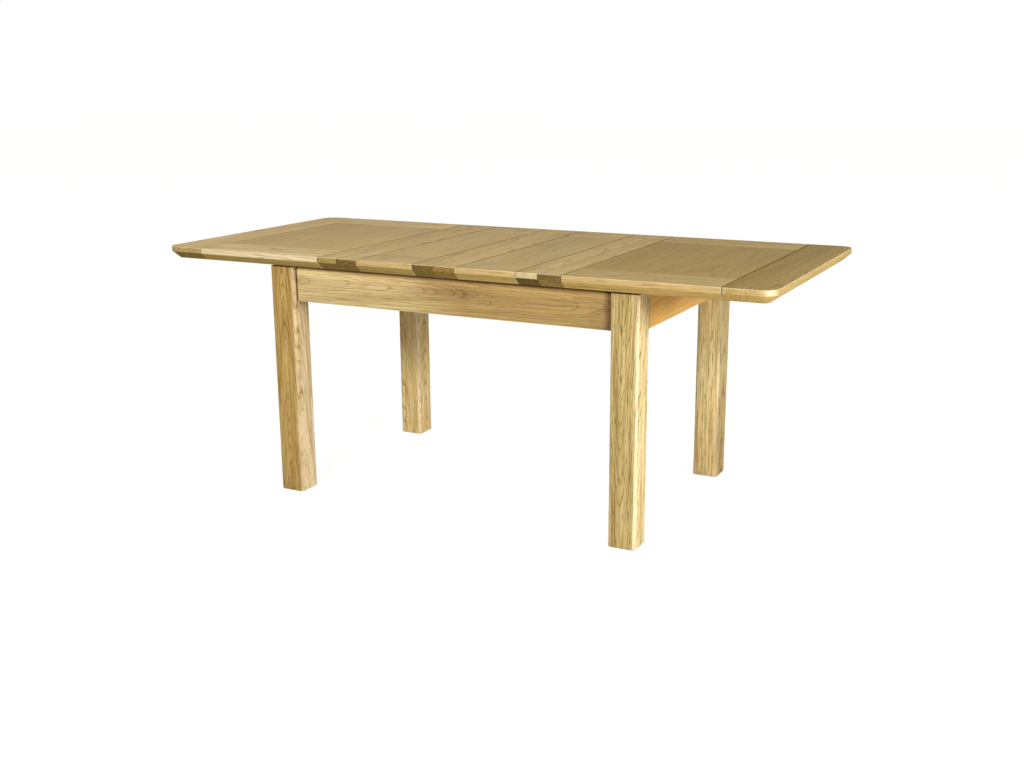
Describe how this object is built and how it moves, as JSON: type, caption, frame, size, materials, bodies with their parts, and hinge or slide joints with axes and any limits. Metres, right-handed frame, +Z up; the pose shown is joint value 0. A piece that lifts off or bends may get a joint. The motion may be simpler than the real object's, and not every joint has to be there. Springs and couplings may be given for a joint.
{
  "type": "draw leaf table",
  "caption": "Rectangular wooden dining table on square legs whose framed top slides apart at the middle to take framed loose leaves.",
  "frame": {"origin": "on the floor below the middle of the table, between the feet", "axes": "+X along the table's length, -Y to the front long side, +Z up"},
  "size_m": [2.01, 0.906, 0.785],
  "materials": {
    "oak_top": "satin lacquered oak",
    "oak_panel": "satin lacquered oak veneer",
    "oak_frame": "satin lacquered oak",
    "beech": "waxed beech",
    "glide_nylon": "matte",
    "black_steel": "black paint",
    "zinc_steel": "zinc plated"
  },
  "bodies": {
    "frame": {"leg_front_left": "oak_frame", "leg_front_right": "oak_frame", "leg_back_left": "oak_frame", "leg_back_right": "oak_frame", "apron_front": "oak_frame", "apron_back": "oak_frame", "apron_left": "oak_frame", "apron_right": "oak_frame", "corner_block_front_left": "beech", "corner_block_front_right": "beech", "corner_block_back_left": "beech", "corner_block_back_right": "beech", "hanger_bolts": "zinc_steel", "hanger_washers": "zinc_steel", "hanger_nuts": "zinc_steel", "cross_rail_left": "beech", "cross_rail_right": "beech", "pivot_rail": "beech", "slide_rail_front": "beech", "slide_rail_back": "beech", "slide_screws": "zinc_steel", "foot_glides": "glide_nylon", "pivot_stud": "zinc_steel", "pivot_nut": "zinc_steel"},
    "lever": {"equaliser_lever": "black_steel", "lever_pins": "zinc_steel"},
    "link_left": {"link_left": "black_steel"},
    "link_right": {"link_right": "black_steel"},
    "half_left": {"top_left_end_board": "oak_top", "top_left_stile": "oak_top", "top_left_rail_front": "oak_top", "top_left_rail_back": "oak_top", "top_left_panel": "oak_panel", "top_left_batten": "beech", "runner_left_front": "beech", "runner_left_back": "beech", "link_bracket_left": "black_steel", "screws_left": "zinc_steel"},
    "leaf_left": {"leaf_left_outer_stile": "oak_top", "leaf_left_inner_stile": "oak_top", "leaf_left_rail_front": "oak_top", "leaf_left_rail_back": "oak_top", "leaf_left_panel": "oak_panel", "leaf_left_cleat": "beech"},
    "half_right": {"top_right_end_board": "oak_top", "top_right_stile": "oak_top", "top_right_rail_front": "oak_top", "top_right_rail_back": "oak_top", "top_right_panel": "oak_panel", "top_right_batten": "beech", "runner_right_front": "beech", "runner_right_back": "beech", "link_bracket_right": "black_steel", "screws_right": "zinc_steel"},
    "leaf_right": {"leaf_right_outer_stile": "oak_top", "leaf_right_inner_stile": "oak_top", "leaf_right_rail_front": "oak_top", "leaf_right_rail_back": "oak_top", "leaf_right_panel": "oak_panel", "leaf_right_cleat": "beech"}
  },
  "joints": [
    {"name": "leaf_left_lift", "type": "slide", "parent": "frame", "child": "leaf_left", "axis": [0, 0, 1], "range_m": [0, 0.52]},
    {"name": "leaf_right_lift", "type": "slide", "parent": "frame", "child": "leaf_right", "axis": [0, 0, 1], "range_m": [0, 0.52]},
    {"name": "lever_turn", "type": "hinge", "parent": "frame", "child": "lever", "pos_m": [0, 0, 0.698], "axis": [0, 0, 1], "range_deg": [0, 84.55]},
    {"name": "link_left_turn", "type": "hinge", "parent": "lever", "child": "link_left", "pos_m": [-0.186, 0, 0.706], "axis": [0, 0, 1], "range_deg": [-169.1, 0]},
    {"name": "half_left_turn", "type": "hinge", "parent": "link_left", "child": "half_left", "pos_m": [-0.372, 0, 0.706], "axis": [0, 0, 1], "range_deg": [0, 84.55]},
    {"name": "link_right_turn", "type": "hinge", "parent": "lever", "child": "link_right", "pos_m": [0.186, 0, 0.706], "axis": [0, 0, 1], "range_deg": [-169.1, 0]},
    {"name": "half_right_turn", "type": "hinge", "parent": "link_right", "child": "half_right", "pos_m": [0.372, 0, 0.706], "axis": [0, 0, 1], "range_deg": [0, 84.55]}
  ],
  "couplings": [
    {"joint": "leaf_right_lift", "follows": "leaf_left_lift", "ratio": 1},
    {"joint": "lever_turn", "follows": "leaf_left_lift", "rad_per_m": 2.8378},
    {"joint": "link_left_turn", "follows": "leaf_left_lift", "rad_per_m": -5.6757},
    {"joint": "half_left_turn", "follows": "leaf_left_lift", "rad_per_m": 2.8378},
    {"joint": "link_right_turn", "follows": "leaf_left_lift", "rad_per_m": -5.6757},
    {"joint": "half_right_turn", "follows": "leaf_left_lift", "rad_per_m": 2.8378}
  ]
}
